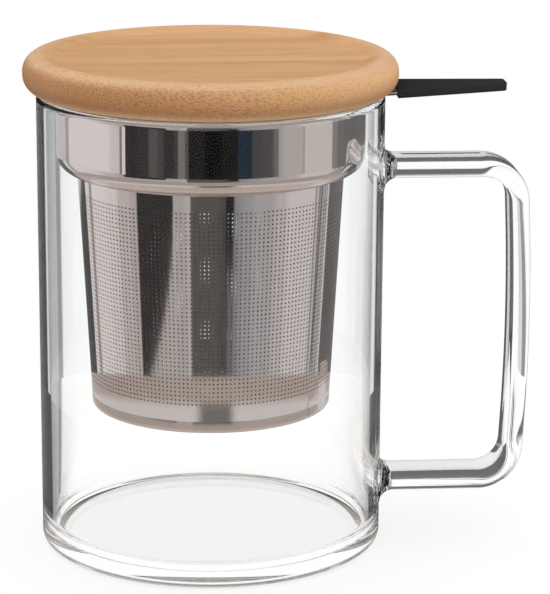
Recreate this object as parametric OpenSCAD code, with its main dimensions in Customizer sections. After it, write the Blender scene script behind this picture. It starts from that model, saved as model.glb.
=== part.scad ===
// Lidded tea mug: a blown glass mug with a welded strap handle, a stainless steel
// infuser that hangs on the rim by its flange, and a turned bamboo lid that drops into it.
// Millimetres, Z up. The origin is the centre of the base, and the handle points along +X.

/* [Glass mug] */
// Outside diameter of the glass
glass_d = 85; // [76:1:100]
// Thickness of the glass wall
glass_wall = 2.5; // [2:0.1:3.5]
// Height of the rim above the table
glass_h = 113; // [105:1:140]
// Thickness of the floor
glass_floor = 3; // [2:0.5:6]
// Radius of the outer edge around the base
base_round = 2; // [1:0.5:4]
// Radius inside, where the wall meets the floor
floor_round = 5; // [2:0.5:8]

/* [Handle] */
// Thickness of the strap, seen from the side
handle_t = 4.8; // [3.5:0.1:7]
// Width of the strap, seen from the end
handle_w = 13; // [8:0.5:18]
// Distance from the rim down to the middle of the upper bar
handle_drop = 18.6; // [12:0.2:30]
// Height of the middle of the lower bar
handle_foot = 13.8; // [10:0.2:30]
// Distance from the wall out to the middle of the upright
handle_reach = 34.5; // [28:0.5:45]
// Radius of both corners, to the middle of the strap
handle_corner = 9; // [6:0.5:14]
// Radius of the flare where each bar is welded to the wall
weld_round = 3.2; // [2:0.1:4]

/* [Infuser] */
// Thickness of the sheet steel of the flange and the collar
sheet = 0.7; // [0.5:0.1:1]
// Gap between the glass bore and the collar
collar_gap = 2.2; // [0.4:0.1:3]
// How far the flange stays inside the outer edge of the glass
flange_inset = 0.5; // [0.2:0.1:0.8]
// Radius under the bend from the collar into the flange, as far as the gap leaves room
flange_bend = 1.6; // [0.5:0.1:2]
// Depth of the collar below the rim
collar_depth = 18.5; // [16:0.5:26]
// Outer radius of the shoulder at the foot of the collar, as far as the step leaves room
shoulder_round = 5; // [3:0.5:6.5]
// Step in from the side of the collar to the top of the basket
basket_step = 5.1; // [4:0.1:12]
// Step in from the side of the collar to the foot of the basket
foot_step = 8.3; // [6:0.1:14]
// Depth of the basket below the collar
basket_depth = 59.2; // [40:0.2:70]
// Thickness of the etched sheet of the basket
mesh_sheet = 0.5; // [0.3:0.1:0.8]
// Height of the rim of the cap that closes the basket
cap_h = 3; // [2.6:0.1:5]
// Radius of the cap's outer edge
cap_round = 1; // [1:0.1:2.4]

/* [Perforation] */
// Distance between the rows and between the columns of holes
hole_pitch = 4.3; // [4:0.1:9]
// Width and height of each hole
hole_size = 1.6; // [1:0.1:2.8]
// Plain steel between the collar and the top row
plain_top = 4.4; // [3:0.2:12]
// Plain steel between the base and the lowest row
plain_base = 7.4; // [6:0.2:14]
// Plain border around the perforated field of the cap
cap_border = 6; // [4:0.5:12]

/* [Lifting tab] */
// How far the tongue reaches past the flange
tab_reach = 29.7; // [22:0.1:40]
// Width of the tongue at the flange
tab_root_w = 15.4; // [8:0.2:17]
// Width of the tongue at its tip
tab_tip_w = 4.4; // [3:0.1:8]
// Radius of both corners of the tip
tab_corner = 1.2; // [0.5:0.1:1.4]
// Rise of the tongue from its root to its tip
tab_rise = 0.8; // [0.2:0.1:2]
// Gap between the edge of the lid and the sleeve
sleeve_gap = 0.6; // [0.3:0.1:3]
// Thickness of the silicone around the tongue
sleeve_wall = 0.75; // [0.5:0.05:1.2]

/* [Lid] */
// How far the lid stands out past the glass
lid_overhang = 3.2; // [1:0.1:6]
// Thickness of the lid above the flange
lid_t = 9; // [8.6:0.1:14]
// Radius of the lid's upper and lower edge
lid_round = 4.1; // [2:0.1:4.2]
// Width of the raised border around the top
lid_border = 6; // [5:0.5:10]
// Depth of the dished top inside the border
lid_dish = 1.2; // [0.5:0.1:2.5]
// Radius around the foot of the dish
dish_round = 1; // [0.4:0.1:2]
// Depth of the plug that drops into the collar
plug_depth = 6; // [5:0.5:12]
// Gap between the plug and the inside of the collar
plug_gap = 1.6; // [1:0.1:3]

/* [Seal] */
// Gap between the seal's lips and the collar
seal_gap = 0.25; // [0.2:0.05:0.5]
// Height of the seal in its groove
seal_h = 3; // [2.4:0.1:4]
// How deep the seal sits in its groove
seal_seat = 1.4; // [0.8:0.1:2]
// Thickness of each of the two lips
seal_lip = 0.8; // [0.5:0.1:1]

/* [Hidden] */
$fn = 96;

// How far a cutter runs past what it cuts
cut = 1;

// Glass
glass_r = glass_d / 2;
bore_r = glass_r - glass_wall;
rim_round = glass_wall / 2;

// Handle: the middle of its bars, its upright and its corners
bar_top = glass_h - handle_drop;
upright_x = glass_r + handle_reach;
corner_x = upright_x - handle_corner;
strap_flat = handle_w - handle_t;

// Infuser
flange_top = glass_h + sheet;
flange_r = glass_r - flange_inset;
collar_r = bore_r - collar_gap;
collar_in = collar_r - sheet;
collar_base = glass_h - collar_depth;
basket_top_r = collar_r - basket_step;
basket_base = collar_base - basket_depth;
wall_base = basket_base + cap_h;
cap_r = basket_r(wall_base);

// Lid
lid_r = glass_r + lid_overhang;
lid_top = flange_top + lid_t;
plug_r = collar_in - plug_gap;
groove_r = plug_r - seal_seat;
seal_r = collar_in - seal_gap;
seal_z = flange_top - plug_depth / 2;

// Tab
tab_tip = flange_r + tab_reach;
tab_bend = max(flange_r, lid_r - lid_round);
sleeve_root = lid_r + sleeve_gap;
tab_taper = (tab_root_w - tab_tip_w) / 2 / tab_reach;

// Radius of the basket's outer face at a height
function basket_r(z) = basket_top_r
    - (foot_step - basket_step) * (collar_base - z) / basket_depth;

// Height of the middle of the tongue at a distance from the axis
function tongue_z(x) = glass_h + sheet / 2
    + tab_rise * max(0, x - tab_bend) / (tab_tip - tab_bend);

// Half the width of the tongue at a distance from the axis
function tongue_half(x) = tab_root_w / 2 - tab_taper * (x - flange_r);

// ---- Outlines that are revolved ------------------------------------------------

// A block from the axis out to radius r, with its lower outer corner rounded
module rounded_half(r, z0, z1, round) {
    difference() {
        translate([0, z0]) square([r, z1 - z0]);
        difference() {
            translate([r - round, z0 - cut]) square(round + cut);
            translate([r - round, z0 + round]) circle(round);
        }
    }
}

// A quarter turn of sheet around (r, z), on the side that [dir_r, dir_z] points to
module sheet_bend(r, z, inner, thickness, dir_r, dir_z) {
    outer = inner + thickness;
    translate([r, z]) scale([dir_r, dir_z]) intersection() {
        difference() {
            circle(outer);
            circle(inner);
        }
        square(outer);
    }
}

// ---- Glass ---------------------------------------------------------------------

module glass_body() {
    color([0.86, 0.92, 0.93, 0.35])
    rotate_extrude() {
        difference() {
            rounded_half(glass_r, 0, glass_h - rim_round, base_round);
            rounded_half(bore_r, glass_floor, glass_h, floor_round);
        }
        translate([glass_r - rim_round, glass_h - rim_round]) circle(rim_round);
    }
}

// Cross-section of the strap: flat faces with fully rounded edges
module strap_section() {
    square([handle_t, strap_flat], center = true);
    for (side = [-1, 1]) translate([0, side * strap_flat / 2]) circle(handle_t / 2);
}

// A straight bar from the axis out to the corner
module strap_bar(z) {
    translate([0, 0, z]) rotate([0, 90, 0]) linear_extrude(corner_x) strap_section();
}

// The quarter turn around (corner_x, z), starting at an angle in the plane of the handle
module strap_corner(z, start) {
    translate([corner_x, 0, z]) rotate([90, 0, 0]) rotate([0, 0, start])
        rotate_extrude(angle = 90) translate([handle_corner, 0]) strap_section();
}

// Half of the flare's outline: full height at the wall, easing into the strap
module weld_outline() {
    flare = handle_t / 2 + weld_round;
    difference() {
        translate([0, glass_r - weld_round]) square([flare, 2 * weld_round]);
        translate([flare, glass_r + weld_round]) circle(weld_round);
    }
}

// The flare where a bar is welded to the wall, straight in the middle and round at its ends
module strap_weld(z) {
    translate([0, 0, z]) rotate([0, 90, 0]) {
        for (side = [0, 1]) mirror([0, side, 0])
            translate([0, strap_flat / 2, 0]) rotate_extrude(angle = 180) weld_outline();
        rotate([90, 0, 0]) linear_extrude(strap_flat, center = true) {
            weld_outline();
            mirror([1, 0]) weld_outline();
        }
    }
}

module glass_handle() {
    upright_base = handle_foot + handle_corner;
    upright_top = bar_top - handle_corner;
    color([0.86, 0.92, 0.93, 0.35])
    difference() {
        union() {
            for (z = [handle_foot, bar_top]) {
                strap_bar(z);
                strap_weld(z);
            }
            strap_corner(upright_base, -90);
            translate([upright_x, 0, upright_base])
                linear_extrude(upright_top - upright_base) strap_section();
            strap_corner(upright_top, 0);
        }
        cylinder(r = glass_r, h = glass_h);
    }
}

// ---- Infuser -------------------------------------------------------------------

// Drawn from one sheet: flat flange, bend, straight side, shoulder and a ring of floor
module infuser_collar() {
    bend = min(flange_bend, collar_gap);
    bend_r = collar_r + bend;
    bend_z = glass_h - bend;
    shoulder = min(shoulder_round, basket_step);
    shoulder_r = collar_r - shoulder;
    shoulder_z = collar_base + shoulder;
    ring_r = basket_top_r - mesh_sheet;
    color([0.80, 0.77, 0.75])
    rotate_extrude() {
        translate([bend_r, glass_h]) square([flange_r - bend_r, sheet]);
        sheet_bend(bend_r, bend_z, bend, sheet, -1, 1);
        translate([collar_in, shoulder_z]) square([sheet, bend_z - shoulder_z]);
        sheet_bend(shoulder_r, shoulder_z, shoulder - sheet, sheet, 1, -1);
        translate([ring_r, collar_base]) square([shoulder_r - ring_r, sheet]);
    }
}

// The basket's side as a solid cone between two heights, set in from its outer face
module basket_cone(z0, z1, inset) {
    translate([0, 0, z0])
        cylinder(r1 = basket_r(z0) - inset, r2 = basket_r(z1) - inset, h = z1 - z0);
}

// One hole through the side: its edges run along the sheet and around it
module wall_hole(z) {
    r_in = basket_r(basket_base) - mesh_sheet - cut;
    r_out = basket_top_r + cut;
    half_out = hole_size / 2 * r_out / basket_r(z);
    half_in = half_out * r_in / r_out;
    translate([0, 0, z - hole_size / 2]) linear_extrude(hole_size)
        polygon([[r_in, -half_in], [r_out, -half_out], [r_out, half_out], [r_in, half_in]]);
}

module basket_wall() {
    row_low = basket_base + plain_base + hole_size / 2;
    row_high = collar_base - plain_top - hole_size / 2;
    rows = floor((row_high - row_low) / hole_pitch);
    columns = floor(2 * PI * basket_r(basket_base) / hole_pitch);
    color([0.74, 0.71, 0.70])
    difference() {
        basket_cone(wall_base, collar_base, 0);
        basket_cone(wall_base - cut, collar_base + cut, mesh_sheet);
        for (row = [0 : rows], column = [0 : columns - 1])
            rotate([0, 0, 360 * column / columns])
                wall_hole(row_low + (row_high - row_low) * row / rows);
    }
}

module basket_cap() {
    steps = floor((cap_r - cap_border) / hole_pitch);
    color([0.74, 0.71, 0.70])
    difference() {
        rotate_extrude() difference() {
            rounded_half(cap_r, basket_base, wall_base, cap_round);
            rounded_half(cap_r - mesh_sheet, basket_base + mesh_sheet, wall_base + cut,
                         cap_round - mesh_sheet);
        }
        for (i = [-steps : steps], j = [-steps : steps])
            if (norm([i, j]) * hole_pitch < cap_r - cap_border)
                translate([i * hole_pitch, j * hole_pitch, basket_base])
                    cube([hole_size, hole_size, 2 * cap_h], center = true);
    }
}

// ---- Lifting tab ---------------------------------------------------------------

// Plan of the tongue from x out to its tip, grown all round
module tab_plan(x, grow) {
    corner = tab_corner + grow;
    corner_at = tab_tip - tab_corner;
    half_root = tongue_half(x) + grow;
    half_tip = tongue_half(tab_tip) - tab_corner;
    hull() {
        polygon([[x, -half_root], [corner_at, 0], [x, half_root]]);
        for (side = [-1, 1]) translate([corner_at, side * half_tip]) circle(corner, $fn = 32);
    }
}

// The tongue from x out to its tip, level as far as the bend and then rising a little
module tongue(x, grow) {
    half = sheet / 2 + grow;
    end = tab_tip + grow + cut;
    upper = [for (at = [0, tab_bend, end]) [at, tongue_z(at) + half]];
    lower = [for (at = [end, tab_bend, 0]) [at, tongue_z(at) - half]];
    intersection() {
        linear_extrude(2 * glass_h) tab_plan(x, grow);
        rotate([90, 0, 0]) linear_extrude(2 * tab_root_w, center = true)
            polygon(concat(upper, lower));
    }
}

// Its root follows the round edge of the flange, to which it is welded
module lift_tab() {
    color([0.78, 0.75, 0.73])
    difference() {
        tongue(flange_r - tab_root_w / 2, 0);
        cylinder(r = flange_r, h = 2 * glass_h);
    }
}

module tab_sleeve() {
    color([0.12, 0.12, 0.13])
    difference() {
        tongue(sleeve_root, sleeve_wall);
        tongue(sleeve_root - cut, 0);
    }
}

// ---- Lid -----------------------------------------------------------------------

module bamboo_lid() {
    color([0.83, 0.66, 0.46])
    rotate_extrude() difference() {
        union() {
            translate([0, flange_top]) square([lid_r - lid_round, lid_t]);
            translate([0, flange_top + lid_round]) square([lid_r, lid_t - 2 * lid_round]);
            for (z = [flange_top + lid_round, lid_top - lid_round])
                translate([lid_r - lid_round, z]) circle(lid_round);
            translate([0, flange_top - plug_depth]) square([plug_r, 2 * plug_depth]);
        }
        rounded_half(lid_r - lid_border, lid_top - lid_dish, lid_top + dish_round, dish_round);
        translate([groove_r, seal_z - seal_h / 2]) square([2 * seal_seat, seal_h]);
    }
}

// A band that fills the groove and carries two round-edged lips
module lid_seal() {
    color([0.90, 0.90, 0.88])
    rotate_extrude() {
        translate([groove_r, seal_z - seal_h / 2]) square([seal_seat, seal_h]);
        for (side = [-1, 1]) translate([groove_r, seal_z + side * (seal_h - seal_lip) / 2]) {
            translate([0, -seal_lip / 2]) square([seal_r - groove_r - seal_lip / 2, seal_lip]);
            translate([seal_r - groove_r - seal_lip / 2, 0]) circle(seal_lip / 2);
        }
    }
}

glass_body();
glass_handle();
infuser_collar();
basket_wall();
basket_cap();
lift_tab();
tab_sleeve();
bamboo_lid();
lid_seal();
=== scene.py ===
import math

import bmesh
import bpy
from mathutils import Matrix, Vector


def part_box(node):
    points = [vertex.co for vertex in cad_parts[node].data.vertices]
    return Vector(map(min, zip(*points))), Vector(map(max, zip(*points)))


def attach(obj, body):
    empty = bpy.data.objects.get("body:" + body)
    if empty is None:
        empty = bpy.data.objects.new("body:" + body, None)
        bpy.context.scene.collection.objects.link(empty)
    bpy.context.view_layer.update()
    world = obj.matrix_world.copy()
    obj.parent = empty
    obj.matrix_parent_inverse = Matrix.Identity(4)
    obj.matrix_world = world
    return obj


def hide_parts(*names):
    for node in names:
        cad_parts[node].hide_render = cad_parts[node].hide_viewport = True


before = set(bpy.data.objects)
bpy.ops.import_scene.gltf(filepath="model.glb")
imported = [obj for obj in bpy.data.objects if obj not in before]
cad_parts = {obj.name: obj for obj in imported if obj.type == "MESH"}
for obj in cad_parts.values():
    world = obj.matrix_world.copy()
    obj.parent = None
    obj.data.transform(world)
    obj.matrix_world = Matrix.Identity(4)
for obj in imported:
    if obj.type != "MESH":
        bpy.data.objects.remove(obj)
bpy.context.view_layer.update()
scene = bpy.context.scene
scene.view_settings.view_transform = "Standard"


# ---- Viewpoint -------------------------------------------------------------------
# A long lens a little above the table, turned a few degrees from the plane of the
# handle, so that the handle and the lifting tab point to the right.

MM = 0.001

# The image and the focal length in pixels, the sensor in millimetres, the angles in radians
IMAGE_HEIGHT = 594
FOCAL_PX = 2700
SENSOR = 36
PITCH = 0.260
ROLL = 0.006
TURN = math.radians(-4.5)
EYE = Vector((15.913, -648.166, 233.809)) * MM

lens = bpy.data.cameras.new("camera")
lens.sensor_width = SENSOR
lens.lens = FOCAL_PX * SENSOR / IMAGE_HEIGHT
lens.clip_start = 10 * MM
camera = bpy.data.objects.new("camera", lens)
camera.matrix_world = (
    Matrix.Rotation(TURN, 4, "Z")
    @ Matrix.Translation(EYE)
    @ Matrix.Rotation(math.pi / 2 - PITCH, 4, "X")
    @ Matrix.Rotation(ROLL, 4, "Z")
)
scene.collection.objects.link(camera)
scene.camera = camera


# ---- Studio ----------------------------------------------------------------------
# Soft even light from all round and a white backdrop. To rays that the steel or the glass
# mirrors or bends, the room shows black and grey tones, as from cards around the mug, which
# draw the edges of the glass and the bands in the steel.

# Light that is caught in the wall and the floor of the glass turns many times on its way out
MOST_TURNS = 40
MOST_MIRRORED = 32
scene.cycles.max_bounces = MOST_TURNS
scene.cycles.transmission_bounces = MOST_TURNS
scene.cycles.glossy_bounces = MOST_MIRRORED


class Wire:
    """One output of a node. Arithmetic on wires adds Math nodes to their board."""

    def __init__(self, board, socket):
        self.board = board
        self.socket = socket

    def __add__(self, other):
        return self.board.math("ADD", self, other)

    def __radd__(self, other):
        return self.board.math("ADD", other, self)

    def __sub__(self, other):
        return self.board.math("SUBTRACT", self, other)

    def __rsub__(self, other):
        return self.board.math("SUBTRACT", other, self)

    def __mul__(self, other):
        return self.board.math("MULTIPLY", self, other)

    def __rmul__(self, other):
        return self.board.math("MULTIPLY", other, self)

    def __truediv__(self, other):
        return self.board.math("DIVIDE", self, other)

    def __rtruediv__(self, other):
        return self.board.math("DIVIDE", other, self)

    def __pow__(self, other):
        return self.board.math("POWER", self, other)

    def __abs__(self):
        return self.board.math("ABSOLUTE", self)


class Board:
    """A node tree under construction, of a material, of the world or of Geometry Nodes."""

    def __init__(self, tree):
        self.tree = tree

    def add(self, kind, output, sockets, stops=None, **settings):
        """Adds a node: its settings first, then its sockets. Returns the wire of one output."""
        node = self.tree.nodes.new(kind)
        for name, value in settings.items():
            setattr(node, name, value)
        if stops:
            ramp = node.color_ramp.elements
            ramp.remove(ramp[1])
            ramp[0].position, ramp[0].color = stops[0]
            for position, color in stops[1:]:
                ramp.new(position).color = color
        for name, value in sockets.items():
            if isinstance(value, Wire):
                self.tree.links.new(value.socket, node.inputs[name])
            else:
                node.inputs[name].default_value = value
        if node.outputs:
            return Wire(self, node.outputs[output])

    def math(self, operation, *values):
        """A Math node on wires and numbers."""
        return self.add("ShaderNodeMath", 0, dict(enumerate(values)), operation=operation)

    def axes(self, vector):
        """The three parts of a vector."""
        parts = self.add("ShaderNodeSeparateXYZ", "X", {0: vector})
        return [Wire(self, output) for output in parts.socket.node.outputs]

    def step(self, value, edge, soft):
        """0 below the edge and 1 above it, with a soft change that is twice soft wide."""
        sockets = {"Value": value, "From Min": edge - soft, "From Max": edge + soft}
        return self.add("ShaderNodeMapRange", 0, sockets, interpolation_type="SMOOTHSTEP")

    def between(self, value, start, end):
        """1 between two edges, each given with its softness, and 0 beyond them."""
        return self.step(value, *start) - self.step(value, *end)

    def mix(self, factor, first, second):
        """A colour between two colours."""
        return self.add("ShaderNodeMix", 2, {0: factor, 6: first, 7: second}, data_type="RGBA")


def grey(level, warmth=0.0):
    """A grey, warmer or cooler by a small share."""
    return (level * (1 + warmth), level, level * (1 - warmth), 1)


class Ray:
    """What a tree knows of the ray that meets it, as wires of 0 or 1."""

    def __init__(self, board):
        outputs = board.add("ShaderNodeLightPath", 0, {}).socket.node.outputs
        crossed = Wire(board, outputs["Transmission Depth"])
        turned_back = Wire(board, outputs["Glossy Depth"])
        self.is_camera = Wire(board, outputs["Is Camera Ray"])
        self.is_diffuse = Wire(board, outputs["Is Diffuse Ray"])
        self.is_glossy = Wire(board, outputs["Is Glossy Ray"])
        self.is_through = Wire(board, outputs["Is Transmission Ray"])
        # Not through the glass at all, such as off its skin
        self.outside = 1 - board.step(crossed, 0.5, 0.1)
        # In and out of one wall of the glass. A ray from the steel has crossed it twice
        self.in_glass = board.between(crossed, (0.5, 0.1), (2.5, 0.1))
        self.is_mirrored = board.step(turned_back, 0.5, 0.1)
        # Mirrored three times at most. Light that turned more often stays white
        self.few = 1 - board.step(turned_back, 3.5, 0.1)


WHITE = (1, 1, 1, 1)

# Bands that the steel mirrors, at the height of the collar and of the basket: the azimuth
# in degrees, from the camera's side round to the right, at which each band begins, half the
# width of its soft edge, and its colour
COLLAR_BANDS = [
    (-163, 1.0, grey(0.76)), (-128, 0.8, grey(0.48, 0.06)), (-122.5, 0.8, (1.0, 0.98, 1.0, 1)),
    (-76, 3.0, (0.84, 0.81, 0.82, 1)), (-67.4, 0.4, grey(0.30)), (-65.2, 0.4, grey(1.0)),
    (-62.6, 0.5, grey(0.045)), (-43.8, 1.0, grey(0.12)), (-37, 1.0, grey(0.08, 0.03)),
    (-32.5, 1.0, grey(0.042)), (-25, 1.0, grey(0.065)), (-22, 0.7, grey(0.25, 0.03)),
    (-17, 0.7, grey(0.115, 0.04)), (-14.5, 0.5, grey(0.017)), (-3, 2.0, grey(0.004)),
    (9, 2.0, grey(0.012)), (20.5, 0.6, (0.020, 0.037, 0.062, 1)), (31, 0.6, grey(0.085, -0.05)),
    (38, 1.0, grey(0.10)), (47, 1.5, grey(0.20)), (51, 0.6, grey(0.50, 0.03)),
    (54, 1.0, grey(0.60, 0.03)), (71, 0.4, grey(0.48, 0.03)), (72.6, 0.4, grey(0.76, 0.03)),
    (99, 1.0, grey(0.31)), (105, 2.0, grey(0.20)), (150, 3.0, grey(0.14)),
]
BASKET_BANDS = [
    (-136, 1.0, grey(0.95)), (-127.5, 0.6, grey(0.42, 0.05)), (-122.5, 0.8, grey(0.98, 0.01)),
    (-100, 4.0, grey(0.90, 0.01)), (-86, 4.0, grey(0.68, 0.03)), (-72, 2.0, grey(0.58, 0.03)),
    (-28, 2.0, grey(0.54, 0.02)), (-21, 2.0, grey(0.62, 0.02)), (-16, 0.8, grey(0.125, 0.02)),
    (9, 2.0, grey(0.10)), (16, 2.0, grey(0.20)), (22, 1.5, grey(0.37, -0.05)),
    (28, 3.0, grey(0.45, -0.04)), (38, 3.0, grey(0.53, -0.02)), (58, 4.0, grey(0.65, 0.01)),
    (70, 3.0, grey(0.82, 0.01)), (102.5, 0.5, grey(0.30)), (104, 0.5, grey(0.66)),
    (107.5, 0.4, grey(0.30)), (109.5, 0.6, grey(0.50, -0.03)), (117.5, 0.4, grey(0.35)),
    (119, 0.5, grey(0.90)), (123.5, 0.8, grey(0.17)),
]

# The tone straight behind, before the first band begins
EDGE_OF_SIGHT = grey(0.085)

# Edges in the mirrored room, in degrees, each with half the width of its soft change: the
# height below which the basket's bands begin, and those of the table and of the white sky
COLLAR_SEES = (-13.6, 0.5)
TABLE_SEEN = (-28, 2.5)
SKY_SEEN = (3, 3)
TABLE_TONE = (0.52, 0.46, 0.415, 1)

# A dark blade in the basket: upright on its left, while its right edge curves in below the
# top and hooks over to the left at the tip
BLADE_TONE = grey(0.035)
BLADE_LEFT = (-65, 0.7)
BLADE_RIGHT = -31
BLADE_SOFT = 0.8
BLADE_TOP = -19
BLADE_TIP = -22.1
BLADE_CURVE = 22.5
BLADE_HOOK = 11
BLADE_END = 1.5

# A black upright bar at the top of the basket
BAR_TONE = grey(0.02)
BAR_LEFT = (14, 0.7)
BAR_RIGHT = (21, 0.7)
BAR_FOOT = (-20.5, 0.7)

# What shows through the left edge of the glass, where the wall bends the view aside
GLASS_LINE = (-166.4, 0.5)
GLASS_GREY = (-163.8, 0.7)
GLASS_CLEAR = (-151, 4)
GLASS_LINE_TONE = grey(0.28)
GLASS_GREY_TONE = grey(0.70, -0.02)

# What the skin of the glass mirrors behind, at its left and its right edge
SKIN_LEFT = (-138, 2)
SKIN_RIGHT = (140, 2)
SKIN_TONE = grey(0.06)

# What the wall of the glass mirrors inside itself: dark behind, on the left and on the
# right, a dark ceiling that draws the rim and the handle, and dark sides
CAUGHT_LEFT = (-147, 1.5)
CAUGHT_LEFT_TONE = grey(0.04)
CAUGHT_RIGHT = (151, 2)
CAUGHT_RIGHT_TONE = grey(0.10)
CEILING_FROM = (10, 2)
CEILING_TONE = grey(0.15)
ASIDE_FROM = (50, 3)
ASIDE_TO = (143, 3)
ASIDE_TONE = grey(0.12)

# The soft light that falls on all matt surfaces, from above, from the sides and from below,
# and how far up a direction points, from -1 to 1, where the top and the sides begin
SOFT_TOP = grey(1.04)
SOFT_SIDE = grey(0.78)
SOFT_BELOW = grey(0.55)
TOP_FROM = (0.35, 0.4)
SIDE_FROM = (-0.3, 0.3)

world = bpy.data.worlds.new("studio")
scene.world = world
world.use_nodes = True
world.node_tree.nodes.clear()
studio = Board(world.node_tree)
x, y, z = studio.axes(studio.add("ShaderNodeTexCoord", "Generated", {}))
to_right = x * math.cos(TURN) + y * math.sin(TURN)
to_camera = x * math.sin(TURN) - y * math.cos(TURN)
azimuth = studio.math("ARCTAN2", to_right, to_camera) * math.degrees(1)
elevation = studio.math("ARCSINE", z) * math.degrees(1)
ray = Ray(studio)


def banded(bands, tone):
    """A tone that changes to each band's own where the band begins."""
    for start, soft, band_tone in bands:
        tone = studio.mix(studio.step(azimuth, start, soft), tone, band_tone)
    return tone


down = (elevation - BLADE_TOP) / (BLADE_TIP - BLADE_TOP)
down = studio.math("MINIMUM", studio.math("MAXIMUM", down, 0.0), BLADE_END)
blade_edge = BLADE_RIGHT - BLADE_CURVE * down ** 2 - BLADE_HOOK * down ** 8
blade = studio.step(azimuth, *BLADE_LEFT) - studio.step(azimuth - blade_edge, 0.0, BLADE_SOFT)
blade = studio.math("MAXIMUM", blade, 0.0)
bar = studio.between(azimuth, BAR_LEFT, BAR_RIGHT) * studio.step(elevation, *BAR_FOOT)
basket_tone = studio.mix(blade, banded(BASKET_BANDS, EDGE_OF_SIGHT), BLADE_TONE)
basket_tone = studio.mix(bar, basket_tone, BAR_TONE)
mirrored = studio.mix(
    studio.step(elevation, *COLLAR_SEES), basket_tone, banded(COLLAR_BANDS, EDGE_OF_SIGHT))
mirrored = studio.mix(studio.step(elevation, *TABLE_SEEN), TABLE_TONE, mirrored)
mirrored = studio.mix(studio.step(elevation, *SKY_SEEN), mirrored, WHITE)
beside = 1 - studio.step(azimuth, *SKIN_LEFT) + studio.step(azimuth, *SKIN_RIGHT)
mirrored = studio.mix(ray.outside * beside, mirrored, SKIN_TONE)

through = studio.mix(studio.between(azimuth, GLASS_LINE, GLASS_CLEAR), WHITE, GLASS_GREY_TONE)
through = studio.mix(studio.between(azimuth, GLASS_LINE, GLASS_GREY), through, GLASS_LINE_TONE)

caught = studio.mix(studio.step(azimuth, *CAUGHT_LEFT), CAUGHT_LEFT_TONE, WHITE)
caught = studio.mix(studio.step(azimuth, *CAUGHT_RIGHT), caught, CAUGHT_RIGHT_TONE)
caught = studio.mix(ray.few, WHITE, caught)
in_wall = ray.in_glass * ray.few

side_light = studio.mix(studio.step(z, *TOP_FROM), SOFT_SIDE, SOFT_TOP)
soft_light = studio.mix(studio.step(z, *SIDE_FROM), SOFT_BELOW, side_light)

seen = studio.mix(ray.is_mirrored, through, studio.mix(ray.in_glass, mirrored, caught))
seen = studio.mix(in_wall * studio.step(elevation, *CEILING_FROM), seen, CEILING_TONE)
seen = studio.mix(in_wall * studio.between(abs(azimuth), ASIDE_FROM, ASIDE_TO), seen, ASIDE_TONE)
seen = studio.mix(ray.is_diffuse, seen, soft_light)
seen = studio.mix(ray.is_camera, seen, WHITE)
studio.add("ShaderNodeOutputWorld", 0, {
    "Surface": studio.add("ShaderNodeBackground", 0, {"Color": seen, "Strength": 1.0})})


# ---- Floor -----------------------------------------------------------------------
# Plain white paper that keeps the soft shadow of the mug. To rays that the steel or the
# glass mirrors or bends, it has darker zones of painted shade, which carry on the tones of
# the studio.

SHARP_FROM = math.radians(40)


def new_mesh(name, material, body_of_mesh):
    """An object at the origin from a bmesh, shaded smooth apart from its sharp edges."""
    bmesh.ops.recalc_face_normals(body_of_mesh, faces=body_of_mesh.faces)
    mesh = bpy.data.meshes.new(name)
    body_of_mesh.to_mesh(mesh)
    body_of_mesh.free()
    mesh.shade_smooth()
    mesh.set_sharp_from_angle(angle=SHARP_FROM)
    mesh.materials.append(material)
    piece = bpy.data.objects.new(name, mesh)
    scene.collection.objects.link(piece)
    return piece


def new_finish(name):
    """A new material and the board of its nodes."""
    material = bpy.data.materials.new(name)
    material.use_nodes = True
    material.node_tree.nodes.clear()
    return material, Board(material.node_tree)


FLOOR_R = 150 * MM
FLOOR_SIDES = 96
FLOOR_DROP = 0.1 * MM

# How brightly the paper shows by itself, to the camera and through the glass, and how much
# of the light that falls on it is added, which is what draws the shadow
FLOOR_GLOW = grey(0.78)
THROUGH_GLOW = grey(0.80)
FLOOR_SHADE = grey(0.27)
MIRRORED_SHADE = grey(0.03)
PAPER_TONE = grey(0.8)
BLACK = (0, 0, 0, 1)

# What the steel mirrors of the paper, in painted shade: tones that change outwards from
# the axis, and a dark sector in front
NEAR_TONE = (0.67, 0.60, 0.545, 1)
FAR_FROM = (100 * MM, 10 * MM)
FAR_TONE = grey(0.79)
TABLE_FROM = (130 * MM, 4 * MM)
FRONT_SHADE_TONE = grey(0.19)
FRONT_SPREAD = 0.25
FRONT_TURN = 0.1
FRONT_SOFT = 12 * MM

# Painted dark reflections behind the mug and past its sides, for rays that its wall or its
# skin mirrors
BEHIND_FROM = (0.0, 5 * MM)
GLASS_SIDE = 41 * MM
CRISP = 1 * MM
SKIN_FLOOR_TONE = grey(0.04)
LEFT_FLOOR_TONE = grey(0.03)
RIGHT_FLOOR_TONE = grey(0.08)

# A painted dark line and grey stretch behind on the left, by their slope from the side of
# the glass
LEAN_LINE = (0.24, 0.02)
LEAN_GREY = (0.29, 0.02)
LEAN_CLEAR = (0.6, 0.1)
LEAN_LINE_TONE = grey(0.25)
LEAN_GREY_TONE = grey(0.55, -0.02)

# Painted dark zones that draw the lower half of the handle, by how far they line up beside
# the axis as the camera sees them: past the strap, and from the glass to the strap, far
# enough back
LENS_AWAY = 650 * MM
GLASS_RIGHT = (46 * MM, 1 * MM)
STRAP_LEFT = (69 * MM, 1 * MM)
STRAP_RIGHT = (83 * MM, 1.5 * MM)
STRAP_REACH = (85 * MM, 5 * MM)
STRAP_FLOOR_TONE = grey(0.12)

paper, board = new_finish("paper")
at_x, at_y = board.axes(board.add("ShaderNodeTexCoord", "Object", {}))[:2]
off_axis = at_x * math.cos(TURN) + at_y * math.sin(TURN)
away = at_y * math.cos(TURN) - at_x * math.sin(TURN)
from_axis = (at_x * at_x + at_y * at_y) ** 0.5
ray = Ray(board)
direct = ray.is_camera + ray.is_glossy + ray.is_through

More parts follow.
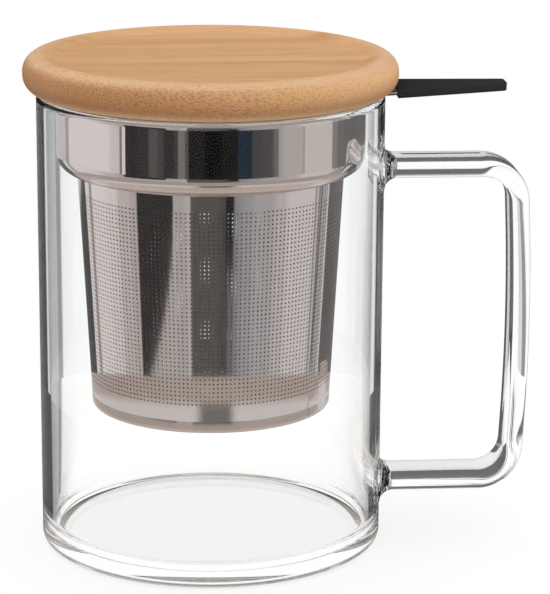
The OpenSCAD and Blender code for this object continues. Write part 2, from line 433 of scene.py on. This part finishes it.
behind = board.step(away, *BEHIND_FROM)
left_behind = behind * board.step(0.0 - off_axis, GLASS_SIDE, CRISP)
right_behind = behind * board.step(off_axis, GLASS_SIDE, CRISP)
front = 1 - board.step(abs(off_axis + away * FRONT_TURN) + away * FRONT_SPREAD, 0.0, FRONT_SOFT)
in_steel = board.mix(front, FAR_TONE, FRONT_SHADE_TONE)
in_steel = board.mix(board.step(from_axis, *FAR_FROM), NEAR_TONE, in_steel)
in_steel = board.mix(board.step(from_axis, *TABLE_FROM), in_steel, TABLE_TONE)
in_steel = board.mix(ray.outside * (left_behind + right_behind), in_steel, SKIN_FLOOR_TONE)

caught = board.mix(left_behind * ray.few, WHITE, LEFT_FLOOR_TONE)
caught = board.mix(right_behind * ray.few, caught, RIGHT_FLOOR_TONE)

lean = (0.0 - off_axis - GLASS_SIDE) / away
grey_stretch = left_behind * board.between(lean, LEAN_LINE, LEAN_CLEAR)
dark_line = left_behind * board.between(lean, LEAN_LINE, LEAN_GREY)
through = board.mix(grey_stretch, THROUGH_GLOW, LEAN_GREY_TONE)
through = board.mix(dark_line, through, LEAN_LINE_TONE)

lined_up = off_axis / (1 + away / LENS_AWAY)
inside_strap = board.between(lined_up, GLASS_RIGHT, STRAP_LEFT) * board.step(away, *STRAP_REACH)
by_strap = ray.in_glass * ray.few * (board.step(lined_up, *STRAP_RIGHT) + inside_strap)

glow = board.mix(ray.is_through, FLOOR_GLOW, through)
glow = board.mix(ray.is_mirrored, glow, board.mix(ray.in_glass, in_steel, caught))
glow = board.mix(by_strap, glow, STRAP_FLOOR_TONE)
unshaded = board.math("MAXIMUM", grey_stretch * ray.is_through + by_strap, ray.is_mirrored)
shade = board.mix(unshaded, FLOOR_SHADE, MIRRORED_SHADE)
white = board.add("ShaderNodeBsdfPrincipled", 0, {
    "Base Color": board.mix(direct, PAPER_TONE, shade),
    "Roughness": 1.0, "Specular IOR Level": 0.0,
    "Emission Color": board.mix(direct, BLACK, glow), "Emission Strength": 1.0})
board.add("ShaderNodeOutputMaterial", 0, {"Surface": white})
disc = bmesh.new()
bmesh.ops.create_circle(disc, cap_ends=True, segments=FLOOR_SIDES, radius=FLOOR_R)
bmesh.ops.translate(disc, verts=disc.verts, vec=(0, 0, -FLOOR_DROP))
floor = new_mesh("floor", paper, disc)


# ---- Glass mug -------------------------------------------------------------------
# Blown borosilicate glass with a flat base and a fire-polished rim. The handle is a
# flattened glass strap, bent hot and fused to the wall at both ends with a small flare.

def arc(r, z, radius, start, end, steps):
    """Points along an arc round (r, z), with its angles in degrees."""
    points = []
    for step in range(steps + 1):
        angle = math.radians(start + (end - start) * step / steps)
        points.append((r + radius * math.cos(angle), z + radius * math.sin(angle)))
    return points


SUPPORT = 0.15
LONG_STRETCH = 8 * SUPPORT


def supported(outline):
    """The closed outline, with a point near both ends of each long straight stretch.

    They keep the smooth shading of the bends next to it out of the stretch.
    """
    points = []
    for (r, z), (next_r, next_z) in zip(outline, outline[1:] + outline[:1]):
        points.append((r, z))
        length = math.hypot(next_r - r, next_z - z)
        if length < LONG_STRETCH:
            continue
        for share in (SUPPORT / length, 1 - SUPPORT / length):
            at_r = r + (next_r - r) * share
            if at_r > 2 * SUPPORT:
                points.append((at_r, z + (next_z - z) * share))
    return points


def lathe(outline, sides):
    """A closed outline of (r, z) points in millimetres, turned round the axis."""
    turned = bmesh.new()
    rings = []
    for r, z in supported(outline):
        if r < 1e-6:
            rings.append([turned.verts.new((0, 0, z * MM))] * sides)
            continue
        ring = []
        for side in range(sides):
            angle = 2 * math.pi * side / sides
            ring.append(turned.verts.new((r * MM * math.cos(angle), r * MM * math.sin(angle), z * MM)))
        rings.append(ring)
    for ring, following in zip(rings, rings[1:] + rings[:1]):
        for side in range(sides):
            after = (side + 1) % sides
            corners = [ring[side], ring[after], following[after], following[side]]
            corners = list(dict.fromkeys(corners))
            if len(corners) > 2:
                turned.faces.new(corners)
    return turned


def in_mm(corners):
    """The corners of a box, from metres to millimetres."""
    return [corner / MM for corner in corners]


LATHE_SIDES = 192
glass_high = in_mm(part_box("glass_body"))[1]
GLASS_R = glass_high.y
GLASS_H = glass_high.z
GLASS_WALL = 2.5
GLASS_FLOOR = 3
BASE_ROUND = 2
FLOOR_ROUND = 5
BORE_R = GLASS_R - GLASS_WALL
RIM_ROUND = GLASS_WALL / 2

glass_outline = (
    [(0, 0)]
    + arc(GLASS_R - BASE_ROUND, BASE_ROUND, BASE_ROUND, -90, 0, 8)
    + arc(GLASS_R - RIM_ROUND, GLASS_H - RIM_ROUND, RIM_ROUND, 0, 180, 16)
    + arc(BORE_R - FLOOR_ROUND, GLASS_FLOOR + FLOOR_ROUND, FLOOR_ROUND, 0, -90, 12)
    + [(0, GLASS_FLOOR)]
)

GLASS_TINT = (0.997, 1.0, 0.999, 1)
GLASS_GLEAM = (0.2, 0.2, 0.2, 1)
GLASS_IOR = 1.47

glass, board = new_finish("clear glass")
clear = board.add("ShaderNodeBsdfPrincipled", 0, {
    "Base Color": GLASS_TINT, "Roughness": 0.0, "IOR": GLASS_IOR,
    "Specular Tint": GLASS_GLEAM, "Transmission Weight": 1.0})
board.add("ShaderNodeOutputMaterial", 0, {"Surface": clear})

handle_low, handle_high = in_mm(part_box("glass_handle"))
STRAP_T = 4.8
STRAP_W = 13
STRAP_CORNER = 9
WELD_ROUND = 3.2
BOW = 0.9
SECTION_STEPS = 12
RUN_STEPS = 8
BEND_STEPS = 16
BOW_STEPS = 24
STRAP_TOP = handle_high.z - WELD_ROUND - STRAP_T / 2
STRAP_FOOT = handle_low.z + WELD_ROUND + STRAP_T / 2
STRAP_OUT = handle_high.x - STRAP_T / 2


def strap_section(grown):
    """Points round the strap's section, as (across its thickness, across its width)."""
    round_r = STRAP_T / 2 + grown
    half_flat = (STRAP_W - STRAP_T) / 2
    upper = arc(0, half_flat, round_r, 0, 180, SECTION_STEPS)
    lower = arc(0, -half_flat, round_r, 180, 360, SECTION_STEPS)
    return upper + [(-round_r, 0)] + lower + [(round_r, 0)]


def strap_path():
    """Points (x, z) along the middle of the strap, from weld to weld, with a slight bow."""
    half = (STRAP_TOP - STRAP_FOOT) / 2 - STRAP_CORNER
    centre_z = (STRAP_TOP + STRAP_FOOT) / 2
    bow_r = (half * half + BOW * BOW) / (2 * BOW)
    tilt = math.degrees(math.asin(half / bow_r))
    corner_x = STRAP_OUT - BOW - STRAP_CORNER
    weld_x = GLASS_R + WELD_ROUND
    path = []
    for step in range(1, RUN_STEPS + 1):
        path.append((weld_x + (corner_x - weld_x) * step / RUN_STEPS, STRAP_TOP))
    upper = arc(corner_x, STRAP_TOP - STRAP_CORNER, STRAP_CORNER, 90, tilt, BEND_STEPS)
    bowed = arc(STRAP_OUT - bow_r, centre_z, bow_r, tilt, -tilt, BOW_STEPS)
    lower = arc(corner_x, STRAP_FOOT + STRAP_CORNER, STRAP_CORNER, -tilt, -90, BEND_STEPS)
    path += upper[1:] + bowed[1:-1] + lower
    for step in range(1, RUN_STEPS):
        path.append((corner_x + (weld_x - corner_x) * step / RUN_STEPS, STRAP_FOOT))
    return path


def strap_mesh():
    """The whole handle, reaching halfway into the wall, with a flare that follows the wall."""
    welds = []
    for height, turned_in in ((STRAP_TOP, 1), (STRAP_FOOT, -1)):
        weld = []
        for step in range(-1, RUN_STEPS + 1):
            away = max(0, WELD_ROUND * step / RUN_STEPS)
            inward = RIM_ROUND if step < 0 else 0
            grown = WELD_ROUND - math.sqrt(WELD_ROUND ** 2 - (WELD_ROUND - away) ** 2)
            ring = []
            for across, along in strap_section(grown):
                wall_x = math.sqrt(GLASS_R ** 2 - along ** 2)
                start_x = wall_x + (GLASS_R - wall_x) * (away / WELD_ROUND) ** 2
                ring.append(Vector((start_x + away - inward, along, height + turned_in * across)))
            weld.append(ring)
        welds.append(weld)
    path = strap_path()
    middle = []
    for index, (at_x, at_z) in enumerate(path):
        before = path[max(index - 1, 0)]
        after = path[min(index + 1, len(path) - 1)]
        forward = Vector((after[0] - before[0], 0, after[1] - before[1])).normalized()
        outward = Vector((-forward.z, 0, forward.x))
        ring = []
        for across, along in strap_section(0):
            ring.append(Vector((at_x, 0, at_z)) + outward * across + Vector((0, along, 0)))
        middle.append(ring)
    strap = bmesh.new()
    rows = []
    for ring in welds[0] + middle + welds[1][::-1]:
        rows.append([strap.verts.new(point * MM) for point in ring])
    count = len(rows[0])
    for row, following in zip(rows, rows[1:]):
        for index in range(count):
            after = (index + 1) % count
            strap.faces.new([row[index], row[after], following[after], following[index]])
    strap.faces.new(rows[0])
    strap.faces.new(rows[-1])
    return strap


mug = new_mesh("glass_mug", glass, lathe(glass_outline, LATHE_SIDES))
strap = new_mesh("strap", glass, strap_mesh())
fusing = mug.modifiers.new("fusing", "BOOLEAN")
fusing.operation = "UNION"
fusing.solver = "EXACT"
fusing.object = strap
fused = bpy.data.meshes.new_from_object(mug.evaluated_get(bpy.context.evaluated_depsgraph_get()))
mug.modifiers.remove(fusing)
mug.data = fused
bpy.data.objects.remove(strap)
mug.data.shade_smooth()
mug.data.set_sharp_from_angle(angle=SHARP_FROM)
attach(mug, "mug")
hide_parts("glass_body", "glass_handle")


# ---- Infuser collar --------------------------------------------------------------
# Drawn from one sheet of stainless steel and polished: a flange that hangs on the rim,
# a straight side, and a rounded shoulder that steps in to the basket.

collar_low, collar_high = in_mm(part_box("infuser_collar"))
basket_low, basket_high = in_mm(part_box("basket_wall"))
SHEET = 0.7
COLLAR_GAP = 2.2
FLANGE_BEND = 1.6
SHOULDER_ROUND = 5
MESH_SHEET = 0.5
FLANGE_R = collar_high.y
FLANGE_TOP = collar_high.z
COLLAR_BASE = collar_low.z
COLLAR_R = BORE_R - COLLAR_GAP
BASKET_TOP_R = basket_high.y
STEEL_TONE = (0.63, 0.575, 0.555, 1)

bend_r = COLLAR_R + FLANGE_BEND
bend_z = GLASS_H - FLANGE_BEND
shoulder_r = COLLAR_R - SHOULDER_ROUND
shoulder_z = COLLAR_BASE + SHOULDER_ROUND
ring_r = BASKET_TOP_R - MESH_SHEET
edge_r = FLANGE_R - SHEET / 2
edge_z = FLANGE_TOP - SHEET / 2
collar_outline = (
    arc(edge_r, edge_z, SHEET / 2, 90, -90, 8)
    + arc(bend_r, bend_z, FLANGE_BEND, 90, 180, 8)
    + arc(shoulder_r, shoulder_z, SHOULDER_ROUND, 0, -90, 20)
    + [(ring_r, COLLAR_BASE), (ring_r, COLLAR_BASE + SHEET)]
    + arc(shoulder_r, shoulder_z, SHOULDER_ROUND - SHEET, -90, 0, 20)
    + arc(bend_r, bend_z, FLANGE_BEND + SHEET, 180, 90, 8)
)

steel, board = new_finish("polished steel")
place = board.add("ShaderNodeTexCoord", "Object", {})
ripple = board.add("ShaderNodeTexNoise", "Fac", {"Vector": place, "Scale": 70.0, "Detail": 2.0})
haze = board.add("ShaderNodeTexNoise", "Fac", {"Vector": place, "Scale": 260.0, "Detail": 3.0})
sheen = board.add("ShaderNodeBsdfPrincipled", 0, {
    "Base Color": STEEL_TONE, "Metallic": 1.0,
    "Roughness": 0.02 + haze * 0.02,
    "Normal": board.add("ShaderNodeBump", 0, {
        "Height": ripple, "Strength": 0.02, "Distance": 0.0004})})
board.add("ShaderNodeOutputMaterial", 0, {"Surface": sheen})

collar = new_mesh("infuser_collar_sheet", steel, lathe(collar_outline, LATHE_SIDES))
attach(collar, "infuser")
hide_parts("infuser_collar")


# ---- Perforated basket -----------------------------------------------------------
# Thin stainless sheet etched with rows of fine round holes, rolled to a slight cone and
# welded under the collar. Plain bands run above and below the holes.

COLUMNS = 186
ROWS = 46
HOLE_D = 0.44
HOLES_LOW = 42.1
HOLES_HIGH = 90.6
HOLE_SIDES = 8
BASKET_BASE = basket_low.z
ROW_PITCH = (HOLES_HIGH - HOLES_LOW) / ROWS
CAP_R = in_mm(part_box("basket_cap"))[1].y
BASKET_SLOPE = (BASKET_TOP_R - CAP_R) / (COLLAR_BASE - BASKET_BASE)


def basket_radius(height):
    """Outer radius of the basket at a height."""
    return CAP_R + BASKET_SLOPE * (height - BASKET_BASE)


def etched_tree():
    """Geometry Nodes: a field of square cells, each with a round hole, rolled to a cone."""
    tree = bpy.data.node_groups.new("etched sheet", "GeometryNodeTree")
    made = Board(tree)
    tree.interface.new_socket("Sheet", in_out="OUTPUT", socket_type="NodeSocketGeometry")
    kinds = [
        ("Columns", "NodeSocketInt"), ("Rows", "NodeSocketInt"), ("Hole", "NodeSocketFloat"),
        ("Base", "NodeSocketFloat"), ("Pitch", "NodeSocketFloat"), ("Radius", "NodeSocketFloat"),
        ("Slope", "NodeSocketFloat"), ("Thickness", "NodeSocketFloat"),
        ("Finish", "NodeSocketMaterial"),
    ]
    names = {}
    for name, kind in kinds:
        names[name] = tree.interface.new_socket(name, in_out="INPUT", socket_type=kind).identifier
    group = tree.nodes.new("NodeGroupInput")
    given = {name: Wire(made, group.outputs[name]) for name in names}
    rim = made.add("GeometryNodeMeshCircle", 0, {
        "Vertices": HOLE_SIDES, "Radius": given["Hole"] * 0.5})
    plate = made.add("GeometryNodeExtrudeMesh", 0, {"Mesh": rim, "Offset Scale": 0.0}, mode="EDGES")
    grown = Wire(made, plate.socket.node.outputs["Top"])
    at = made.add("GeometryNodeInputPosition", 0, {})
    at_x, at_y, at_z = made.axes(at)
    reach = made.math("MAXIMUM", abs(at_x), abs(at_y)) * 2
    square = made.add("ShaderNodeVectorMath", 0, {0: at, "Scale": 1 / reach}, operation="SCALE")
    plate = made.add("GeometryNodeSetPosition", 0, {
        "Geometry": plate, "Selection": grown, "Position": square})
    inward = made.add("FunctionNodeInputVector", 0, {}, vector=(0, 0, -1))
    wall = made.add("GeometryNodeExtrudeMesh", 0, {
        "Mesh": rim, "Offset": inward, "Offset Scale": 1.0}, mode="EDGES")
    under = made.add("GeometryNodeTransform", 0, {"Geometry": plate, "Translation": (0, 0, -1)})
    cell_node = tree.nodes.new("GeometryNodeJoinGeometry")
    for part in (plate, wall, under):
        tree.links.new(part.socket, cell_node.inputs[0])
    cell = Wire(made, cell_node.outputs[0])
    field = made.add("GeometryNodeMeshGrid", 0, {
        "Size X": given["Columns"] - 1, "Size Y": given["Rows"] - 1,
        "Vertices X": given["Columns"], "Vertices Y": given["Rows"]})
    sheet = made.add("GeometryNodeInstanceOnPoints", 0, {"Points": field, "Instance": cell})
    sheet = made.add("GeometryNodeRealizeInstances", 0, {"Geometry": sheet})
    sheet = made.add("GeometryNodeMergeByDistance", 0, {"Geometry": sheet, "Distance": 0.001})
    angle = (at_x / given["Columns"] + 0.5) * math.tau
    height = given["Base"] + (at_y + given["Rows"] * 0.5) * given["Pitch"]
    radius = given["Radius"] + (height - given["Base"]) * given["Slope"] + at_z * given["Thickness"]
    rolled = made.add("ShaderNodeCombineXYZ", 0, {
        0: radius * made.math("COSINE", angle), 1: radius * made.math("SINE", angle), 2: height})
    sheet = made.add("GeometryNodeSetPosition", 0, {"Geometry": sheet, "Position": rolled})
    sheet = made.add("GeometryNodeMergeByDistance", 0, {"Geometry": sheet, "Distance": 1e-6})
    sheet = made.add("GeometryNodeSetMaterial", 0, {"Geometry": sheet, "Material": given["Finish"]})
    output = tree.nodes.new("NodeGroupOutput")
    tree.links.new(sheet.socket, output.inputs[0])
    return tree, names


def grow_mesh(name, tree, names, values):
    """Runs a Geometry Nodes tree with these input values and returns its plain mesh."""
    holder = bpy.data.objects.new(name, bpy.data.meshes.new(name))
    scene.collection.objects.link(holder)
    nodes = holder.modifiers.new("nodes", "NODES")
    nodes.node_group = tree
    for key, value in values.items():
        nodes[names[key]] = value
    graph = bpy.context.evaluated_depsgraph_get()
    mesh = bpy.data.meshes.new_from_object(holder.evaluated_get(graph))
    holder.modifiers.remove(nodes)
    bpy.data.objects.remove(holder)
    return mesh


# How near to a height an edge is part of it, and a small turn that keeps the points at the
# seam on one side of it when they are sorted by angle
EDGE_NEAR = 0.1 * MM
SEAM_TURN = 0.001


def close_end(band, height):
    """Closes the gap between the outer and the inner edge of a rolled sheet at a height."""
    edge = [v for v in band.verts if v.is_boundary and abs(v.co.z - height) < EDGE_NEAR]
    edge.sort(key=lambda v: (math.atan2(v.co.y, v.co.x) + SEAM_TURN) % math.tau)
    middle = sum(v.co.xy.length for v in edge) / len(edge)
    outer = [v for v in edge if v.co.xy.length > middle]
    inner = [v for v in edge if v.co.xy.length < middle]
    for index in range(len(outer)):
        band.faces.new([outer[index - 1], outer[index], inner[index], inner[index - 1]])


etched, board = new_finish("etched steel")
place = board.add("ShaderNodeTexCoord", "Object", {})
haze = board.add("ShaderNodeTexNoise", "Fac", {"Vector": place, "Scale": 120.0, "Detail": 3.0})
ripple = board.add("ShaderNodeTexNoise", "Fac", {"Vector": place, "Scale": 60.0, "Detail": 1.0})
sheen = board.add("ShaderNodeBsdfPrincipled", 0, {
    "Base Color": STEEL_TONE, "Metallic": 1.0,
    "Roughness": 0.04 + haze * 0.02,
    "Normal": board.add("ShaderNodeBump", 0, {
        "Height": ripple, "Strength": 0.012, "Distance": 0.0004})})
board.add("ShaderNodeOutputMaterial", 0, {"Surface": sheen})

sheet_tree, sheet_inputs = etched_tree()
HOLED_BANDS = (
    ("basket_holes_low", 0, 16), ("basket_holes_middle", 16, 31), ("basket_holes_high", 31, ROWS))
for name, first_row, last_row in HOLED_BANDS:
    base = HOLES_LOW + first_row * ROW_PITCH
    top = HOLES_LOW + last_row * ROW_PITCH
    field = grow_mesh(name, sheet_tree, sheet_inputs, {
        "Columns": COLUMNS, "Rows": last_row - first_row, "Hole": HOLE_D / ROW_PITCH,
        "Base": base * MM, "Pitch": ROW_PITCH * MM, "Radius": basket_radius(base) * MM,
        "Slope": BASKET_SLOPE, "Thickness": MESH_SHEET * MM, "Finish": etched})
    band = bmesh.new()
    band.from_mesh(field)
    for end in (base, top):
        close_end(band, end * MM)
    piece = new_mesh(name, etched, band)
    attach(piece, "infuser")
    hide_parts("basket_wall")

PLAIN_BANDS = (("basket_hem", BASKET_BASE, HOLES_LOW), ("basket_head", HOLES_HIGH, COLLAR_BASE))
for name, base, top in PLAIN_BANDS:
    outer_base, outer_top = basket_radius(base), basket_radius(top)
    outline = [(outer_base, base), (outer_top, top),
               (outer_top - MESH_SHEET, top), (outer_base - MESH_SHEET, base)]
    piece = new_mesh(name, etched, lathe(outline, 2 * COLUMNS))
    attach(piece, "infuser")
    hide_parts("basket_wall")


# ---- Basket cap ------------------------------------------------------------------
# A pressed disc with a low rim and a rounded edge, welded to the foot of the basket.

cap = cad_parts["basket_cap"]
cap.data.materials.clear()
cap.data.materials.append(etched)


# ---- Lifting tab -----------------------------------------------------------------
# A stamped steel tongue, welded to the edge of the flange, in a dark silicone sleeve that
# is pulled over it so that it stays cool to the touch.

tongue_high = in_mm(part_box("lift_tab"))[1]
sleeve_high = in_mm(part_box("tab_sleeve"))[1]
TONGUE_LAP = 0.4
TONGUE_EDGE = 0.15
TIP_W = 4.4
TIP_CORNER = 1.2
SLEEVE_WALL = 0.75
SLEEVE_ROOT = 45.0
SLEEVE_EDGE = 0.45
TAB_ROOT_W = 2 * tongue_high.y
RISE_FROM = 42
TAB_RISE = tongue_high.z - FLANGE_TOP


def tab_mesh(start_x, end_x, half_root, half_tip, corner, thick, edge_round):
    """A flat tapering tongue with a round-cornered tip, round edges and a slight rise."""
    plan = [(start_x, -half_root)]
    plan += arc(end_x - corner, -(half_tip - corner), corner, -80, 0, 8)
    plan += arc(end_x - corner, half_tip - corner, corner, 0, 80, 8)
    plan += [(start_x, half_root)]
    levels = []
    for degrees in range(-90, 91, 30):
        angle = math.radians(degrees)
        middle = thick / 2 - edge_round
        if degrees < 0:
            middle = -middle
        levels.append((edge_round * (1 - math.cos(angle)), middle + edge_round * math.sin(angle)))
    tab = bmesh.new()
    rings = []
    for inset, up in levels:
        ring = []
        for index, (px, py) in enumerate(plan):
            before = plan[index - 1]
            after = plan[(index + 1) % len(plan)]
            along = Vector((after[0] - before[0], after[1] - before[1])).normalized()
            at_x = px - along.y * inset
            at_y = py + along.x * inset
            rise = TAB_RISE * max(0, at_x - RISE_FROM) / (tongue_high.x - RISE_FROM)
            at_z = GLASS_H + SHEET / 2 + rise + up
            ring.append(tab.verts.new(Vector((at_x, at_y, at_z)) * MM))
        rings.append(ring)
    for ring, following in zip(rings, rings[1:]):
        for index in range(len(plan)):
            after = (index + 1) % len(plan)
            tab.faces.new([ring[index], ring[after], following[after], following[index]])
    tab.faces.new(rings[0])
    tab.faces.new(rings[-1])
    return tab


rubber, board = new_finish("charcoal silicone")
place = board.add("ShaderNodeTexCoord", "Object", {})
grain = board.add("ShaderNodeTexNoise", "Fac", {"Vector": place, "Scale": 2500.0, "Detail": 2.0})
matt = board.add("ShaderNodeBsdfPrincipled", 0, {
    "Base Color": board.mix(grain, (0.020, 0.020, 0.021, 1), (0.030, 0.030, 0.031, 1)),
    "Roughness": 0.5 + grain * 0.12, "Specular IOR Level": 0.15,
    "Normal": board.add("ShaderNodeBump", 0, {
        "Height": grain, "Strength": 0.15, "Distance": 0.0001})})
board.add("ShaderNodeOutputMaterial", 0, {"Surface": matt})

tongue = new_mesh("tab_tongue", steel, tab_mesh(
    FLANGE_R - TONGUE_LAP, tongue_high.x, TAB_ROOT_W / 2, TIP_W / 2,
    TIP_CORNER, SHEET, TONGUE_EDGE))
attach(tongue, "infuser")
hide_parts("lift_tab")

sleeve = new_mesh("tab_sleeve_skin", rubber, tab_mesh(
    SLEEVE_ROOT, sleeve_high.x, sleeve_high.y, TIP_W / 2 + SLEEVE_WALL,
    TIP_CORNER, SHEET + 2 * SLEEVE_WALL, SLEEVE_EDGE))
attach(sleeve, "infuser")
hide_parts("tab_sleeve")


# ---- Bamboo lid ------------------------------------------------------------------
# Turned from a board of laminated bamboo strips, sanded and lightly oiled: a raised
# round border, a dished top, and a plug below with a groove for the seal.

lid_low, lid_high = in_mm(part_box("bamboo_lid"))
seal_low, seal_high = in_mm(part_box("lid_seal"))
LID_R = lid_high.y
LID_TOP = lid_high.z
PLUG_BASE = lid_low.z
LID_ROUND = 4.1
DISH = 1.2
DISH_FROM = 37.0
DISH_TO = 41.0
DISH_STEPS = 12
PLUG_R = 35.5
PLUG_ROUND = 0.8
SEAL_SEAT = 1.4

dish_rise = []
for step in range(DISH_STEPS + 1):
    share = step / DISH_STEPS
    eased = share * share * (3 - 2 * share)
    dish_rise.append((DISH_FROM + (DISH_TO - DISH_FROM) * share, LID_TOP - DISH * (1 - eased)))
lid_outline = (
    [(0, LID_TOP - DISH)]
    + dish_rise
    + arc(LID_R - LID_ROUND, LID_TOP - LID_ROUND, LID_ROUND, 88, 0, 16)
    + arc(LID_R - LID_ROUND, FLANGE_TOP + LID_ROUND, LID_ROUND, 0, -90, 16)
    + [(PLUG_R, FLANGE_TOP), (PLUG_R, seal_high.z), (PLUG_R - SEAL_SEAT, seal_high.z),
       (PLUG_R - SEAL_SEAT, seal_low.z), (PLUG_R, seal_low.z)]
    + arc(PLUG_R - PLUG_ROUND, PLUG_BASE + PLUG_ROUND, PLUG_ROUND, 0, -90, 5)
    + [(0, PLUG_BASE)]
)

STRIP_W = 17.0
STRIP_SHIFT = 0.37
GRAIN_TURN = math.radians(2)

# Colours of the wood: along the grain from dark to light, the dark dashes in it, the paler
# border, the ends of the fibres on the side with painted light on its right part and painted
# shade at its foot, and the speckles in them
GRAIN_TONES = [
    (0.15, (0.52, 0.250, 0.092, 1)), (0.45, (0.685, 0.380, 0.174, 1)),
    (0.62, (0.76, 0.443, 0.212, 1)), (0.90, (0.83, 0.52, 0.27, 1))]
DASH_TONE = (0.44, 0.21, 0.080, 1)
BORDER_TONE = (0.88, 0.60, 0.37, 1)
SIDE_LEFT_TONE = (0.50, 0.225, 0.085, 1)
SIDE_PAINTED_LIGHT_TONE = (0.94, 0.54, 0.25, 1)
SIDE_FOOT_SHADE_TONE = (0.27, 0.095, 0.028, 1)
SPECKLE_TONE = (0.27, 0.125, 0.05, 1)

# Where the border, the side, its right part with painted light and its foot with painted
# shade begin, in millimetres, each with half the width of its soft change
BORDER_FROM = (41.0, 2.0)
SIDE_FROM_R = (44.7, 0.9)
PAINTED_LIGHT_FROM = (8.0, 40.0)
FOOT_SHADE_BELOW = (LID_TOP - 5.5, 3.0)

bamboo, board = new_finish("bamboo")
place = board.add("ShaderNodeTexCoord", "Object", {})
turned = board.add("ShaderNodeMapping", 0, {
    "Vector": place, "Rotation": (0, 0, -GRAIN_TURN), "Scale": (1000, 1000, 1000)})
mm_x, mm_y, mm_z = board.axes(turned)
radius = (mm_x * mm_x + mm_y * mm_y) ** 0.5


def stretched(length, width, seed, detail=2.0):
    """Noise in streaks along the grain, about as long and as wide as given in millimetres."""
    spread = board.add("ShaderNodeCombineXYZ", 0, {
        0: mm_x / length + seed, 1: mm_y / width, 2: mm_z / width})
    return board.add("ShaderNodeTexNoise", "Fac", {"Vector": spread, "Scale": 1.0, "Detail": detail})


strip = board.math("FLOOR", mm_y / STRIP_W + STRIP_SHIFT)
strip_tone = board.add("ShaderNodeTexWhiteNoise", "Value", {"W": strip}, noise_dimensions="1D")
broad = stretched(90, 6, 3.0)
fine = stretched(28, 0.5, 11.0)
dashes = stretched(9, 0.33, 23.0, 1.0)
pores = stretched(1.0, 0.3, 37.0, 1.0)
tone = (broad - 0.5) * 0.5 + (fine - 0.5) * 0.55 + (strip_tone - 0.5) * 0.16 + 0.5
wood = board.add("ShaderNodeValToRGB", "Color", {"Fac": tone}, stops=GRAIN_TONES)
dark_dash = board.step(dashes, 0.66, 0.06) * 0.35
wood = board.mix(dark_dash, wood, DASH_TONE)

# The turned side shows the ends of the fibres in brown. Painted light makes it lighter
# towards the right, and painted shade makes it darker at its foot, where it turns under
side = board.step(radius, *SIDE_FROM_R)
painted_light_right = board.step(mm_x, *PAINTED_LIGHT_FROM)
end_grain_and_light = board.mix(painted_light_right, SIDE_LEFT_TONE, SIDE_PAINTED_LIGHT_TONE)
foot = 1 - board.step(mm_z, *FOOT_SHADE_BELOW)
end_grain_and_light = board.mix(foot * 0.75, end_grain_and_light, SIDE_FOOT_SHADE_TONE)
border = board.step(radius, *BORDER_FROM)
wood = board.mix(border * 0.5, wood, BORDER_TONE)
wood = board.mix(side * 0.85, wood, end_grain_and_light)
# Fewer speckles show on the right, under the painted light
speckle = board.step(pores, 0.55, 0.08) * (border * 0.28 + side * 0.37) * (1 - painted_light_right * 0.55)
wood = board.mix(speckle, wood, SPECKLE_TONE)
relief = fine * 0.5 + pores * border
oiled = board.add("ShaderNodeBsdfPrincipled", 0, {
    "Base Color": wood, "Roughness": 0.48 + fine * 0.15, "Specular IOR Level": 0.2,
    "Normal": board.add("ShaderNodeBump", 0, {
        "Height": relief, "Strength": 0.12, "Distance": 0.0002})})
board.add("ShaderNodeOutputMaterial", 0, {"Surface": oiled})

lid = new_mesh("bamboo_lid_turned", bamboo, lathe(lid_outline, LATHE_SIDES))
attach(lid, "lid")
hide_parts("bamboo_lid")


# ---- Seal ------------------------------------------------------------------------
# A ring of clear silicone in the groove of the plug. Its two soft lips press against the
# inside of the collar and keep the lid on.

SEAL_LIP = 0.8
LIP_FILLET = 0.3
SEAL_GROOVE_R = PLUG_R - SEAL_SEAT
lip_r = SEAL_LIP / 2
lip_out = seal_high.y - lip_r
seal_outline = (
    [(SEAL_GROOVE_R, seal_low.z)]
    + arc(lip_out, seal_low.z + lip_r, lip_r, -90, 90, 8)
    + arc(PLUG_R + LIP_FILLET, seal_low.z + SEAL_LIP + LIP_FILLET, LIP_FILLET, -90, -180, 4)
    + arc(PLUG_R + LIP_FILLET, seal_high.z - SEAL_LIP - LIP_FILLET, LIP_FILLET, 180, 90, 4)
    + arc(lip_out, seal_high.z - lip_r, lip_r, -90, 90, 8)
    + [(SEAL_GROOVE_R, seal_high.z)]
)

silicone, board = new_finish("clear silicone")
place = board.add("ShaderNodeTexCoord", "Object", {})
cloud = board.add("ShaderNodeTexNoise", "Fac", {"Vector": place, "Scale": 90.0, "Detail": 2.0})
milky = board.add("ShaderNodeBsdfPrincipled", 0, {
    "Base Color": board.mix(cloud, (0.80, 0.80, 0.78, 1), (0.88, 0.88, 0.86, 1)),
    "Roughness": 0.30 + cloud * 0.1, "Transmission Weight": 0.35, "IOR": 1.41})
board.add("ShaderNodeOutputMaterial", 0, {"Surface": milky})
seal = new_mesh("lid_seal_ring", silicone, lathe(seal_outline, LATHE_SIDES))
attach(seal, "lid")
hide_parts("lid_seal")
